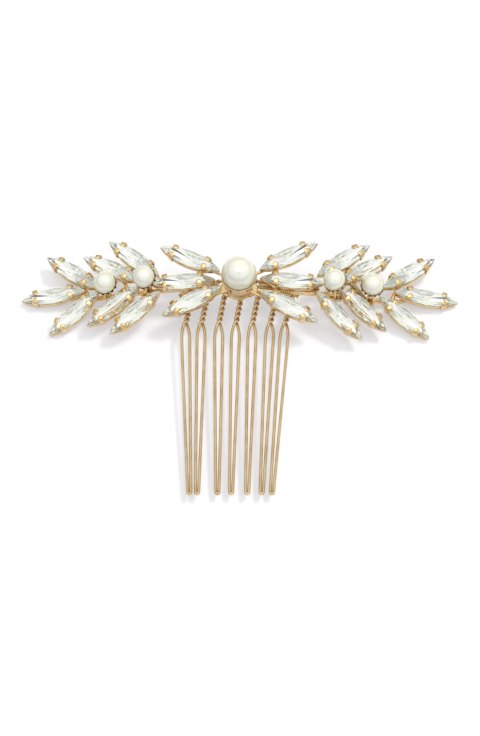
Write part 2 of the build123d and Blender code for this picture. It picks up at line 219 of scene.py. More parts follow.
def stone_place(name):
    """A stone's own frame from its solid: X to its outer tip, Z out of its table, zero at its girdle.
    X is the direction in which its points spread most, and Z the one in which they spread least."""
    points = np.unique(node_points("stone_" + name).round(4), axis=0)
    middle = points.mean(axis=0)
    axes = np.linalg.svd(points - middle, full_matrices=False)[2]
    long_way, up = axes[0], axes[2]
    if long_way[0] * middle[0] < 0:
        long_way = -long_way
    if up[2] < 0:
        up = -up
    reach = (points - middle) @ long_way
    tips = points[np.abs(np.abs(reach) - np.abs(reach).max()) < 0.05]
    return np.stack([long_way, np.cross(up, long_way), up]), tips.mean(axis=0)


def pearl_place(name):
    """A pearl's own frame from its solid: Z along its drilled hole, away from the cup."""
    points = node_points("pearl_" + name)
    low, high = points.min(axis=0), points.max(axis=0)
    radius = (high[0] - low[0]) / 2
    outer = points[np.abs(points[:, 0] - high[0]) < 1e-3].mean(axis=0)
    middle = np.array([(low[0] + high[0]) / 2, outer[1], outer[2]])
    inside = points[np.linalg.norm(points - middle, axis=1) < radius * 0.8]
    up = unit(inside.mean(axis=0) - middle)
    across = unit(np.cross([0, 1, 0], up))
    return np.stack([across, np.cross(up, across), up]), middle, radius


# ---- materials ---------------------------------------------------------------------------------
MARK_DEPTH = 0.00002            # metres
POLISH_SPREAD = 0.16            # how much roughness grows where the marks stand highest


def new_group(name, inputs, outputs):
    """An empty shader node group with named inputs (name, kind, value) and outputs (name, kind)."""
    group = bpy.data.node_groups.new(name, "ShaderNodeTree")
    for label, kind, value in inputs:
        socket = group.interface.new_socket(label, in_out="INPUT", socket_type="NodeSocket" + kind)
        socket.default_value = value
    for label, kind in outputs:
        group.interface.new_socket(label, in_out="OUTPUT", socket_type="NodeSocket" + kind)
    return group, group.nodes.new("NodeGroupInput"), group.nodes.new("NodeGroupOutput")


def node(tree, kind, links=None, **values):
    """A node with its properties and input values set, and its inputs linked."""
    made = tree.nodes.new(kind)
    for key, value in values.items():
        if hasattr(made, key) and key not in made.inputs:
            setattr(made, key, value)
        else:
            made.inputs[key].default_value = value
    for key, source in (links or {}).items():
        tree.links.new(source, made.inputs[key])
    return made


def mixed(tree, factor, low, high):
    """Mix of two colours; low and high are colours or sockets."""
    mix = tree.nodes.new("ShaderNodeMix")
    mix.data_type = "RGBA"
    for socket, value in ((mix.inputs[0], factor), (mix.inputs[6], low), (mix.inputs[7], high)):
        if isinstance(value, bpy.types.NodeSocket):
            tree.links.new(value, socket)
        else:
            socket.default_value = value
    return mix.outputs[2]


def new_material(name, **values):
    """A material with its node tree and shader: values that are the same all over are set on its sockets."""
    material = bpy.data.materials.new(name)
    material.use_nodes = True
    shader = material.node_tree.nodes["Principled BSDF"]
    for label, value in values.items():
        shader.inputs[label].default_value = value
    return material, material.node_tree, shader


def plated_group():
    """Gold plate: colour that drifts a little, polish that varies, fine drawn or tumbled marks."""
    inputs = [("Bright", "Color", (0.9, 0.66, 0.36, 1)), ("Deep", "Color", (0.7, 0.42, 0.16, 1)),
              ("Polish", "Float", 0.2), ("Marks", "Float", 0.2), ("Mark Scale", "Float", 1400.0)]
    outputs = [("Color", "Color"), ("Roughness", "Float"), ("Normal", "Vector")]
    group, given, out = new_group("gold plate", inputs, outputs)
    where = node(group, "ShaderNodeTexCoord").outputs["Object"]
    drift = node(group, "ShaderNodeTexNoise", {"Vector": where}, Scale=260.0, Detail=3.0)
    patch = node(group, "ShaderNodeMapRange", {"Value": drift.outputs["Fac"]},
                 **{"From Min": 0.42, "From Max": 0.68})
    colour = mixed(group, patch.outputs[0], given.outputs["Bright"], given.outputs["Deep"])
    fine = node(group, "ShaderNodeTexNoise", {"Vector": where, "Scale": given.outputs["Mark Scale"]},
                Detail=4.0)
    spread = node(group, "ShaderNodeMath", {0: fine.outputs["Fac"]}, operation="MULTIPLY_ADD")
    spread.inputs[1].default_value = POLISH_SPREAD
    group.links.new(given.outputs["Polish"], spread.inputs[2])
    bump = node(group, "ShaderNodeBump", {"Height": fine.outputs["Fac"], "Strength": given.outputs["Marks"]},
                Distance=MARK_DEPTH)
    group.links.new(colour, out.inputs["Color"])
    group.links.new(spread.outputs[0], out.inputs["Roughness"])
    group.links.new(bump.outputs["Normal"], out.inputs["Normal"])
    return group


def gold(name, bright, deep, polish, marks, mark_scale):
    """Plated metal with its own colours and polish."""
    material, tree, shader = new_material(name, Metallic=1.0)
    plate = tree.nodes.new("ShaderNodeGroup")
    plate.node_tree = PLATED
    given = {"Bright": (*bright, 1), "Deep": (*deep, 1), "Polish": polish, "Marks": marks,
             "Mark Scale": mark_scale}
    for label, value in given.items():
        plate.inputs[label].default_value = value
    for label, target in (("Color", "Base Color"), ("Roughness", "Roughness"), ("Normal", "Normal")):
        tree.links.new(plate.outputs[label], shader.inputs[target])
    return material


def cut_glass():
    """Clear glass with the faintest green, for crown and girdle."""
    values = {"Base Color": (0.985, 0.99, 0.955, 1), "Roughness": 0.0, "IOR": 1.55,
              "Transmission Weight": 1.0}
    return new_material("cut glass", **values)[0]


def silver_foil():
    """Vacuum silver on the back facets: bright, with slight cloudiness."""
    material, tree, shader = new_material("silver foil", Metallic=1.0, Roughness=0.08)
    where = node(tree, "ShaderNodeTexCoord").outputs["Object"]
    cloud = node(tree, "ShaderNodeTexNoise", {"Vector": where}, Scale=350.0, Detail=2.0)
    tone = mixed(tree, cloud.outputs["Fac"], (0.9, 0.92, 0.88, 1), (0.98, 0.985, 0.965, 1))
    tree.links.new(tone, shader.inputs["Base Color"])
    return material


def pearl_coat():
    """Cream pearl essence: part mirror, part soft body, with a painted sheen (base colour darker and yellower
    towards the edge as seen), faintly cloudy.
    """
    values = {"Metallic": 0.28, "Coat Weight": 0.6, "Coat Roughness": 0.1}
    material, tree, shader = new_material("pearl", **values)
    where = node(tree, "ShaderNodeTexCoord").outputs["Object"]
    cloud = node(tree, "ShaderNodeTexNoise", {"Vector": where}, Scale=220.0, Detail=3.0, Distortion=0.6)
    body = mixed(tree, cloud.outputs["Fac"], (0.72, 0.725, 0.64, 1), (0.78, 0.78, 0.70, 1))
    # painted sheen: Layer Weight Facing mixes a darker, yellower colour into the base colour where the
    # surface turns away from the view
    edge = node(tree, "ShaderNodeLayerWeight", Blend=0.4)
    tone = mixed(tree, edge.outputs["Facing"], body, (0.64, 0.62, 0.44, 1))
    tree.links.new(tone, shader.inputs["Base Color"])
    polish = node(tree, "ShaderNodeMapRange", {"Value": cloud.outputs["Fac"]},
                  **{"To Min": 0.2, "To Max": 0.3})
    tree.links.new(polish.outputs["Result"], shader.inputs["Roughness"])
    grain = node(tree, "ShaderNodeTexNoise", {"Vector": where}, Scale=2600.0, Detail=2.0)
    bump = node(tree, "ShaderNodeBump", {"Height": grain.outputs["Fac"]}, Strength=0.06, Distance=MARK_DEPTH)
    tree.links.new(bump.outputs["Normal"], shader.inputs["Normal"])
    return material


def table_paper():
    """Matt white table that glows a little, so that its shadows stay pale."""
    values = {"Base Color": (0.495, 0.5, 0.525, 1), "Emission Color": (0.97, 0.97, 1, 1),
              "Emission Strength": TABLE_GLOW, "Roughness": 0.9, "Specular IOR Level": 0.1}
    return new_material("white table", **values)[0]


# ---- stones ------------------------------------------------------------------------------------
STONE_LENGTH = 15.8
STONE_WIDTH = 4.3
GIRDLE_HALF = 0.1
TABLE_HEIGHT = 0.95
TABLE_LENGTH = 11.0
TABLE_WIDTH = 2.3
KEEL_DEPTH = 1.3
GIRDLE_POINTS = 16
FOIL_FACING = -0.05             # a facet is silvered where its normal's height is under this
BLUNT = 0.84                    # under 1, because the tips of stones and settings are a little rounded


def boat_half_width(length, width, x):
    """Half the width of a boat outline at x: half width times (1 - (x / half length)^2)
    to the blunt power."""
    return width / 2 * np.maximum(1 - (2 * np.asarray(x, float) / length) ** 2, 0) ** BLUNT


def boat_ring(length, width, count, height):
    """Outline of a boat shape: x goes as a cosine from tip to tip and back, the sides as arcs."""
    angle = np.arange(count) * TAU / count
    x = length / 2 * np.cos(angle)
    y = np.where(angle <= math.pi + 1e-6, 1, -1) * boat_half_width(length, width, x)
    return np.stack([x, y, np.full(count, height)], axis=1)


def stone_facets():
    """Crown, girdle and pavilion of a boat-shaped stone: rings of points and the facets between them."""
    n = GIRDLE_POINTS
    top = boat_ring(STONE_LENGTH, STONE_WIDTH, n, GIRDLE_HALF)
    bottom = boat_ring(STONE_LENGTH, STONE_WIDTH, n, -GIRDLE_HALF)
    table = boat_ring(TABLE_LENGTH, TABLE_WIDTH, n // 2, TABLE_HEIGHT)
    points = np.concatenate([top, bottom, table, [[0, 0, -KEEL_DEPTH]]])
    culet = len(points) - 1
    first_table = 2 * n
    faces = [list(range(first_table, first_table + n // 2))]
    for k in range(n):
        after = (k + 1) % n
        faces += [[n + k, n + after, after, k], [culet, n + after, n + k]]
    for j in range(n // 2):
        before, here, after = (2 * j - 1) % n, 2 * j, (2 * j + 1) % n
        corner, following = first_table + j, first_table + (j + 1) % (n // 2)
        faces += [[corner, before, here], [corner, here, after], [corner, after, following]]
    return points, faces


def add_stone(name):
    """A glass stone, silvered on every facet that faces away from its table."""
    points, faces = stone_facets()
    place = stone_place(name)
    piece = make_piece("cut_stone_" + name, [(placed(points, place), faces)], GLASS,
                       ["stone_" + name], smooth=False)
    mesh = piece.data
    mesh.materials.append(FOIL)
    facing = np.empty(len(mesh.polygons) * 3)
    mesh.polygons.foreach_get("normal", facing)
    upward = facing.reshape(-1, 3) @ place[0][2]
    mesh.polygons.foreach_set("material_index", (upward < FOIL_FACING).astype(np.int32))
    return piece


# ---- settings ----------------------------------------------------------------------------------
FOOT = -1.7
WALL_RINGS = [                  # length, width and height of the wall's outline, from inside to the foot
    (13.6, 0.0, -1.4), (13.6, 2.9, -1.4), (14.2, 3.5, -1.3), (15.0, 3.9, -0.8), (15.3, 4.02, -0.4),
    (15.5, 4.1, -0.27), (15.8, 4.34, -0.22), (16.0, 4.5, -0.26), (16.08, 4.56, -0.38), (16.0, 4.5, -0.6),
    (15.7, 4.3, -1.2), (15.5, 4.18, -1.5), (15.3, 4.1, -1.65), (15.0, 3.9, FOOT), (12.0, 0.0, FOOT),
]
WALL_AROUND = 96
CLAW_AT = 4.4
CLAW_WIDTH = 1.35
CLAW_THICKNESS = 0.32
CLAW_OFF_STONE = 0.08
CLAW_CLOSES = 0.76              # share of its length at which the claw's width begins to close
CLAW_ROWS = 22
CLAW_SIDES = 14


def wall_surface():
    """The pressed wall: boat outlines, each at its own height, from the well over the rim to the foot."""
    rings = [boat_ring(length, max(width, CLOSED), WALL_AROUND, height)
             for length, width, height in WALL_RINGS]
    return np.concatenate(rings), grid_faces(len(rings), WALL_AROUND, round_columns=True)


def claw_surface():
    """A claw, in the Y-Z plane of its foot: a flattened oval section carried up the wall and over the crown.
    Its width closes to a round end as (1 - share^2.6)^0.4, and its section is |cos|^4 + |sin|^4 = 1."""
    stone_edge = float(boat_half_width(STONE_LENGTH, STONE_WIDTH, CLAW_AT))
    out = stone_edge + CLAW_OFF_STONE + CLAW_THICKNESS / 2
    bends = np.array([[out - 0.14, -1.3], [out - 0.02, -0.7], [out + 0.02, -0.2], [out + 0.02, 0.25],
                      [out - 0.04, 0.64], [out - 0.3, 0.93], [out - 0.76, 1.1], [out - 1.46, 1.27]])
    t = np.linspace(0, 1, len(bends))
    fine = np.linspace(0, 1, CLAW_ROWS)
    path = np.stack([np.interp(fine, t, bends[:, k]) for k in (0, 1)], axis=1)
    path = eased(path, 2)
    along = unit(np.gradient(path, axis=0))
    across = np.stack([-along[:, 1], along[:, 0]], axis=1)
    close = np.clip(1 - (np.clip(fine - CLAW_CLOSES, 0, 1) / (1 - CLAW_CLOSES)) ** 2.6, 0, 1) ** 0.4
    half_width = CLAW_WIDTH / 2 * close
    half_thick = CLAW_THICKNESS / 2 * np.minimum(1, 0.35 + close)
    half_thick[-1] = 1e-3
    angle = np.arange(CLAW_SIDES) * TAU / CLAW_SIDES
    square = (np.abs(np.cos(angle)) ** 4 + np.abs(np.sin(angle)) ** 4) ** -0.25
    wide, thick = square * np.cos(angle), square * np.sin(angle)
    x = half_width[:, None] * wide[None, :]
    y = path[:, :1] + half_thick[:, None] * thick[None, :] * across[:, :1]
    z = path[:, 1:] + half_thick[:, None] * thick[None, :] * across[:, 1:]
    points = np.stack([x, y, z], axis=2).reshape(-1, 3)
    return points, capped(grid_faces(CLAW_ROWS, CLAW_SIDES, round_columns=True), CLAW_ROWS, CLAW_SIDES)


def add_setting(name):
    """A claw setting: the wall and four claws, two on each side, turned to follow the outline."""
    place = stone_place(name)
    points, faces = wall_surface()
    parts = [(placed(points, place), faces)]
    claw, claw_faces = claw_surface()
    radius = ((STONE_LENGTH / 2) ** 2 + (STONE_WIDTH / 2) ** 2) / STONE_WIDTH
    edge = float(boat_half_width(STONE_LENGTH, STONE_WIDTH, CLAW_AT))
    turn = math.asin(CLAW_AT / radius)
    for end in (1, -1):
        for side in (1, -1):
            pivot = np.array([0, edge, 0])
            cos, sin = math.cos(-end * turn), math.sin(-end * turn)
            spin = np.array([[cos, sin, 0], [-sin, cos, 0], [0, 0, 1]])
            moved = (claw - pivot) @ spin + pivot + [end * CLAW_AT, 0, 0]
            if side < 0:
                moved = moved * [-1, -1, 1]
            parts.append((placed(moved, place), claw_faces))
    return make_piece("claw_setting_" + name, parts, GOLD, ["setting_" + name])


# ---- pearls and cups ---------------------------------------------------------------------------
HOLE_RADIUS = 0.5
HOLE_FLOOR = 1.0                # height of the hole's end above the pearl's middle
PEG_RADIUS = 0.45
STEM_RADIUS = 0.7
STEM_SIDES = 24


def add_pearl(name):
    """A pearl: a ball with its drilled hole, as one profile from the hole's end over the ball."""
    axes, middle, radius = pearl_place(name)
    angle = np.linspace(math.asin(HOLE_RADIUS / radius), math.pi, 72)
    ball = np.stack([radius * np.sin(angle), -radius * np.cos(angle)], axis=1)
    ball[-1, 0] = CLOSED
    inside = [(CLOSED, HOLE_FLOOR), (HOLE_RADIUS, HOLE_FLOOR)]
    points, faces = spun(np.concatenate([inside, ball]), 96)
    return make_piece("glass_pearl_" + name, [(placed(points, (axes, middle)), faces)], PEARL,
                      ["pearl_" + name])


CROWN_TEETH = 14
CROWN_FOOT = -2.1               # heights are from the small pearl's middle
CROWN_TALL = 1.1
TOOTH_RISE = 0.4
NOTCH_DEPTH = 0.85
TOOTH_BULGE = 0.06
CUP_UNDER = 2.85                # the stem's top, inside the cup's floor, below the pearl's middle
STEM_REACH = 0.8                # the CAD stem's points lie this near to its line


def serrated(angle, radius, height):
    """Crown edge: the top of the wall rises to broad round teeth with narrow notches between."""
    share = np.clip((height - CROWN_FOOT) / CROWN_TALL, 0, 1)
    tooth = np.abs(((angle * CROWN_TEETH / TAU) % 1) * 2 - 1)
    rise = TOOTH_RISE - NOTCH_DEPTH * np.clip((tooth - 0.35) / 0.5, 0, 1) ** 1.5
    return radius + TOOTH_BULGE * share * (1 - tooth), height + share * rise


def crown_cup(place):
    """Gallery-wire cup in its pearl's frame, as one closed profile."""
    profile = [(POLE, -3.15), (1.15, -3.15), (1.3, -3.1), (2.05, -2.2), (2.6, -1.4), (2.9, -0.98),
               (2.82, -0.9), (2.66, -1.08), (2.5, -1.4), (1.95, -2.2), (1.3, -2.75), (POLE, -2.75)]
    points, faces = spun(profile, CROWN_TEETH * 8, serrated)
    return placed(points, place), faces


def peg(place, radius):
    """Peg from under the pearl's ball into its hole, with a bevelled end."""
    foot = -radius - 0.5
    profile = [(POLE, foot), (PEG_RADIUS, foot), (PEG_RADIUS, 0.6), (0.3, 0.7), (POLE, 0.7)]
    points, faces = spun(profile, 24)
    return placed(points, place), faces


def add_small_cups():
    """Four crown cups with their pegs and upright stems down to the flats on the backbone wires."""
    cad = node_points("small_pearl_cups")
    parts = []
    for name in SMALL_PEARLS:
        axes, middle, radius = pearl_place(name)
        place = (axes, middle)
        parts += [crown_cup(place), peg(place, radius)]
        under = middle - axes[2] * CUP_UNDER
        near = cad[np.linalg.norm(cad[:, :2] - under[:2], axis=1) < STEM_REACH]
        foot = np.array([under[0], under[1], near[:, 2].min()])
        path = np.stack([foot, (foot + under) / 2, under])
        points, faces = tube(path, STEM_RADIUS, (1, 0, 0), sides=STEM_SIDES)
        parts.append((points, capped(faces, len(path), STEM_SIDES)))
    return make_piece("crown_cups", parts, GOLD, ["small_pearl_cups"])


CUP_PANELS = 8
CUP_AROUND = 192
CUP_RIM_RADIUS = 4.1
CUP_RIM_WIRE = 0.18
CUP_RIM_HEIGHT = -1.7           # heights are from the centre pearl's middle
CUP_INSIDE = 2.9                # the wall's outer face lies outside this radius
PANELS_FOOT = -6.6
PANELS_TOP = -1.6
PILLAR_PROUD = 0.2
PANEL_HOLLOW = 0.12


def panelled(angle, radius, height):
    """Tall cup wall: hollow panels, deepest at their middles by a parabola, between narrow upright pillars.
    Both fade out at rim and foot."""
    share = np.clip((height - PANELS_FOOT) / 0.5, 0, 1) * np.clip((PANELS_TOP - height) / 0.4, 0, 1)
    near = np.abs(((angle * CUP_PANELS / TAU) % 1) * 2 - 1)
    pillar = np.clip((near - 0.78) / 0.14, 0, 1)
    outer = (radius > CUP_INSIDE).astype(float)
    return radius + outer * share * (PILLAR_PROUD * pillar - PANEL_HOLLOW * (1 - near ** 2)), height


ON_CUP = [f"{side}_{row}" for side in SIDES for row in ("upper", "lower")]
PAD_INWARD = 2.6
ARM_RADIUS = 0.36
ARM_SWELL = 0.25
ARM_START = (3.0, -6.7)         # where it leaves the cup: radius and height
ARM_ROWS = 24
ARM_SIDES = 18
ARM_TURN = {"upper": 22, "lower": 0}   # degrees by which an arm leaves the cup nearer to +Y than its stone


def solder_pad(name):
    """Round lump of solder under a setting: a low dome, widest where it meets the setting's foot."""
    profile = [(POLE, 0.02), (1.25, 0.02), (1.22, -0.12), (1.05, -0.3), (0.75, -0.44), (0.35, -0.5),
               (POLE, -0.51)]
    points, faces = spun(profile, 28)
    axes, middle = stone_place(name)
    return placed(points, (axes, middle - PAD_INWARD * axes[0] + FOOT * axes[2])), faces


def cup_arm(name, middle):
    """Arm from the cup's foot to the solder pad under a stone, thicker in a smooth swell at both ends."""
    axes, stone = stone_place(name)
    end = stone - PAD_INWARD * axes[0] + (FOOT - 0.42) * axes[2]
    side, row = name.split("_")
    turn = math.radians(ARM_TURN[row]) * (1 if side == "right" else -1)
    angle = math.atan2(end[1] - middle[1], end[0] - middle[0]) + turn
    away, height = ARM_START
    start = middle + np.array([away * math.cos(angle), away * math.sin(angle), height])
    t = np.linspace(0, 1, ARM_ROWS)
    path = start + t[:, None] * (end - start)
    radius = ARM_RADIUS + ARM_SWELL * (np.exp(-t / 0.06) + np.exp((t - 1) / 0.06))
    points, faces = tube(path, radius, (0, 0, 1), sides=ARM_SIDES)
    return points, capped(faces, ARM_ROWS, ARM_SIDES)


def add_centre_cup():
    """Tall cup under the centre pearl: flange, panelled wall, rolled rim, peg, arms and solder pads."""
    axes, middle, radius = pearl_place("centre")
    place = (axes, middle)
    low = node_points("centre_plate")[:, 2].max() - middle[2]
    flange = [(POLE, low), (3.2, low), (3.35, low + 0.1), (3.35, low + 0.36), (3.22, low + 0.5),
              (3.02, low + 0.62)]
    wall = np.linspace(0, 1, 24)
    outer = np.stack([3.02 + 1.02 * wall ** 0.8, low + 0.7 + (-1.9 - low - 0.7) * wall], axis=1)
    roll = np.linspace(-math.pi / 2, math.pi, 14)
    circle = np.stack([np.cos(roll), np.sin(roll)], axis=1)
    rim = [CUP_RIM_RADIUS, CUP_RIM_HEIGHT] + CUP_RIM_WIRE * circle
    seat = -radius - 0.03
    inner = [(3.9, -1.95), (2.75, low + 1.0), (1.3, low + 1.0), (1.3, -radius - 0.5), (0.9, seat),
             (POLE, seat)]
    points, faces = spun(np.concatenate([flange, outer, rim, inner]), CUP_AROUND, panelled)
    parts = [(placed(points, place), faces), peg(place, radius - 0.2)]
    for name in ON_CUP:
        parts += [cup_arm(name, middle), solder_pad(name)]
    return make_piece("pearl_cup_centre", parts, GOLD, ["centre_cup"])


PLATE_LENGTH = 9.7
PLATE_WIDTH = 5.0
PLATE_FLAT = 4.6                # its ends are cut flat this far from its middle
PLATE_AROUND = 96
PLATE_EDGE = [(CLOSED, -1), (0.9, -1), (0.96, -0.9), (0.99, -0.6), (1, 0), (0.99, 0.6), (0.96, 0.9), (0.9, 1),
              (CLOSED, 1)]      # share of its size, and of half its thickness


def add_plate():
    """Oval plate under the cup: ellipses stacked from its underside to its top, edges rounded off."""
    low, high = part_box("centre_plate")
    middle = (np.array(low) + np.array(high)) / 2 / MM
    half = (high[2] - low[2]) / 2 / MM
    angle = np.arange(PLATE_AROUND) * TAU / PLATE_AROUND
    size, height = np.array(PLATE_EDGE).T[:, :, None]
    x = np.clip(size * PLATE_LENGTH / 2 * np.cos(angle), -PLATE_FLAT, PLATE_FLAT)
    y = size * PLATE_WIDTH / 2 * np.sin(angle)
    points = np.stack([x, y, np.broadcast_to(height * half, x.shape)], axis=2) + middle
    faces = grid_faces(len(PLATE_EDGE), PLATE_AROUND, round_columns=True)
    return make_piece("oval_plate", [(points, faces)], GOLD, ["centre_plate"])


BRANCH_RADIUS = 0.65
BRANCH_DROP = 8.1               # the backbone's middle line below the centre pearl's middle, at its top
BRANCH_BOW = 214.0              # the backbone falls by distance from the middle squared over this
BINDING_WIRE = 0.16
BINDINGS = {                    # each winding's two ends, from the centre pearl's middle along X
    "left": ((-6.8, -4.9), (-19.2, -17.4), (-29.4, -27.8)),
    "right": ((4.9, 8.6), (17.3, 19.4), (27.6, 29.2)),
}
BINDING_PITCH = 2.1             # wire radii from turn to turn
WOUND_STEM = ((27.3, 1.0, -7.1), (30.5, -0.9, -11.1))   # its two ends, from the centre pearl's middle
STEM_PITCH = 2.6
TURN_STEPS = 20


def branch_line(side, x):
    """Middle of a backbone wire at x: its height falls off as a parabola from the centre."""
    pearl = np.array(pearl_middle())
    across = np.asarray(x, float)
    points = node_points("branch_" + side)
    far = points[:, 0].max() if side == "right" else points[:, 0].min()
    y = points[np.abs(points[:, 0] - far) < 0.3][:, 1].mean()
    height = pearl[2] - BRANCH_DROP - across ** 2 / BRANCH_BOW
    return np.stack([pearl[0] + across, np.full(across.shape, y), height], axis=-1)


def add_bindings(side):
    """Thin wire wound round the backbone where soldered parts meet: close turns of a helix round its line."""
    parts = []
    for low, high in BINDINGS[side]:
        turns = (high - low) / (BINDING_PITCH * BINDING_WIRE)
        t = np.linspace(0, 1, int(turns * TURN_STEPS))
        line = branch_line(side, low + t * (high - low))
        angle = t * turns * TAU
        around = BRANCH_RADIUS + BINDING_WIRE * 0.95
        coil = line + around * np.stack([np.zeros_like(t), np.cos(angle), np.sin(angle)], axis=1)
        path, radii = round_ends(coil, BINDING_WIRE, steps=3)
        parts.append(tube(path, radii, (1, 0, 0), sides=8))
    return make_piece("binding_wire_" + side, parts, WIRE_GOLD)


def add_wound_stem():
    """Short slanting stem between two small pearls: a core wire in close turns of thin wire."""
    ends = np.array(WOUND_STEM) + np.array(pearl_middle())
    length = np.linalg.norm(ends[1] - ends[0])
    along = (ends[1] - ends[0]) / length
    first = unit(np.cross(along, [0, 1, 0]))
    second = np.cross(along, first)
    core, radii = round_ends(np.linspace(ends[0], ends[1], 8), WIRE)
    turns = length / (STEM_PITCH * BINDING_WIRE)
    t = np.linspace(0, 1, int(turns * TURN_STEPS))[:, None]
    angle = t * turns * TAU
    around = WIRE + 0.95 * BINDING_WIRE
    coil = ends[0] + t * length * along + around * (np.cos(angle) * first + np.sin(angle) * second)
    coil, coil_radii = round_ends(coil, BINDING_WIRE, steps=3)
    parts = [tube(core, radii, (0, 1, 0), sides=12), tube(coil, coil_radii, along, sides=8)]
    return make_piece("wound_stem", parts, WIRE_GOLD)


def add_solder(side):
    """Low domes of solder under the settings that stand on a backbone wire."""
    parts = [solder_pad(name) for name in STONES if name.startswith(side) and name not in ON_CUP]
    return make_piece("solder_" + side, parts, GOLD)


# ---- comb --------------------------------------------------------------------------------------
WIRE = 0.38                     # radius of the wire that the teeth are bent from
APEX_BACK = 8.3                 # the legs come together this far in front of the centre pearl, along Y
APEX_DOWN = 10.7                # and this far below its middle
LOOP_WIDE = 0.98                # half the spread of the legs, where widest
LOOP_WIDEST = 3.6               # how far that is from where they come together
LOOP_TIP = 0.39                 # half their spread at the tip, and the radius of the bend there
TWIST_RADIUS = 0.38             # each strand's distance from the neck's axis
TWIST_PITCH = 2.9
NECK_LEAN = 2.2                 # how much further along X the neck meets the rail
EYE = 1.0                       # radius of the ring round the rail
RING_STEPS = 40
TOOTH_SIDES = 14
ROPE_STRAND = 0.3
ROPE_PITCH = 2.6


def rail_line(x):
    """The rail's middle line at x: a circle's arc in a sloping plane, through the rail's middle and end."""
    points = node_points("rail")
    far = points[:, 0].max()
    middle_x = (points[:, 0].min() + far) / 2
    top = points[np.abs(points[:, 0] - middle_x) < 0.8].mean(axis=0)
    end = points[points[:, 0] > far - 0.3].mean(axis=0)
    half = far - 0.1 - middle_x
    bow = np.linalg.norm(top[1:] - end[1:])
    radius = (half ** 2 + bow ** 2) / (2 * bow)
    x = np.asarray(x, float)
    drop = radius - np.sqrt(radius ** 2 - (x - middle_x) ** 2)
    way = (end[1:] - top[1:]) / bow
    return np.stack([x, top[1] + drop * way[0], top[2] + drop * way[1]], axis=-1)


def leg_spread(s, straight):
    """Half the spread of the legs at s from the apex: a parabola to the widest, then straight to the tip."""
    rise = LOOP_WIDE - (LOOP_WIDE - TWIST_RADIUS) * (1 - np.minimum(s, LOOP_WIDEST) / LOOP_WIDEST) ** 2
    fall = (LOOP_WIDE - LOOP_TIP) * np.maximum(s - LOOP_WIDEST, 0) / (straight - LOOP_WIDEST)
    return rise - fall


def add_tooth(number):
    """One wire: down a strand of the twisted neck, down one leg, round the tip, up the other leg and strand.
    Neck: two opposite helices round its own leaning axis. Then a ring of wire round the rail."""
    points = node_points(f"tine_{number}")
    pearl = np.array(pearl_middle())
    apex_y, apex_z = pearl[1] - APEX_BACK, pearl[2] - APEX_DOWN
    apex_x = points[np.abs(points[:, 1] - apex_y) < 0.5][:, 0].mean()
    apex = np.array([apex_x, apex_y, apex_z])
    last = points[points[:, 1] < points[:, 1].min() + 0.15].mean(axis=0)
    tip = np.array([last[0], points[:, 1].min() + LOOP_TIP - 0.02, last[2]])
    eye = rail_line(apex_x + NECK_LEAN)

    up = unit(apex - tip)
    across = unit(np.array([1, 0, 0]) - up * up[0])
    normal = np.cross(across, up)
    straight = np.linalg.norm(apex - tip) - LOOP_TIP
    s = np.linspace(0, straight, 70)
    spread = leg_spread(s, straight)
    right = apex + spread[:, None] * across - s[:, None] * up
    left = apex - spread[:, None] * across - s[:, None] * up
    turn = np.linspace(0, math.pi, 12)[1:-1]
    end = apex - straight * up
    bend = end + LOOP_TIP * (np.cos(turn)[:, None] * across - np.sin(turn)[:, None] * up)

    rise = eye - apex
    height = np.linalg.norm(rise) - EYE * 0.9
    rise /= np.linalg.norm(rise)
    out = unit(across - rise * (across @ rise))
    side = np.cross(rise, out)
    h = np.linspace(height, 0, 96)[:-1, None]
    angle = h * TAU / TWIST_PITCH
    strand = TWIST_RADIUS * (np.cos(angle) * out + np.sin(angle) * side)
    neck = apex + h * rise
    path = np.concatenate([neck + strand, right, bend, left[::-1], (neck - strand)[::-1]])
    path, radii = round_ends(eased(path, 3), WIRE)
    parts = [tube(path, radii, normal, sides=TOOTH_SIDES)]

    axis = unit(rail_line(eye[0] + 0.1) - rail_line(eye[0] - 0.1))
    first = unit(np.cross(axis, [0, 0, 1]))
    second = np.cross(axis, first)
    angle = (np.arange(RING_STEPS) * TAU / RING_STEPS)[:, None]
    ring = eye + EYE * (np.cos(angle) * first + np.sin(angle) * second)
    parts.append(tube(ring, WIRE, axis, sides=TOOTH_SIDES, closed=True))
    return make_piece(f"comb_tooth_{number}", parts, WIRE_GOLD, [f"tine_{number}"])


def add_rail():
    """Rope of two strands along the rail's arc: each strand is a helix round the middle line."""
    points = node_points("rail")
    x = np.linspace(points[:, 0].min() + 0.2, points[:, 0].max() - 0.2, 420)
    line = rail_line(x)
    along = unit(np.gradient(line, axis=0))
    first = unit(np.cross(along, [0, 0, 1]))
    second = np.cross(along, first)
    angle = ((x - x[0]) * TAU / ROPE_PITCH)[:, None]
    parts = []
    for phase in (0, math.pi):
        strand = line + ROPE_STRAND * (np.cos(angle + phase) * first + np.sin(angle + phase) * second)
        path, radii = round_ends(strand, ROPE_STRAND)
        parts.append(tube(path, radii, (0, 0, 1), sides=12))
    return make_piece("twisted_rail", parts, WIRE_GOLD, ["rail"])


# ---- the materials, then every piece -----------------------------------------------------------
PLATED = plated_group()
GOLD = gold("polished gold plate", (0.8, 0.62, 0.34), (0.68, 0.44, 0.19), 0.09, 0.2, 1500.0)
WIRE_GOLD = gold("drawn gold wire", (0.67, 0.52, 0.305), (0.58, 0.41, 0.2), 0.1, 0.25, 2200.0)
GLASS = cut_glass()
FOIL = silver_foil()
PEARL = pearl_coat()

add_camera()
for name in STONES:
    add_stone(name)
    add_setting(name)
for name in ["centre"] + SMALL_PEARLS:
    add_pearl(name)
add_centre_cup()
add_plate()
add_small_cups()
for number in TEETH:
    add_tooth(number)
add_rail()
add_wound_stem()
for side in SIDES:
    add_bindings(side)
    add_solder(side)
for name in ("branch_left", "branch_right", "lashing_left", "lashing_right"):
    for material_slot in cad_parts[name].material_slots:
        material_slot.material = GOLD


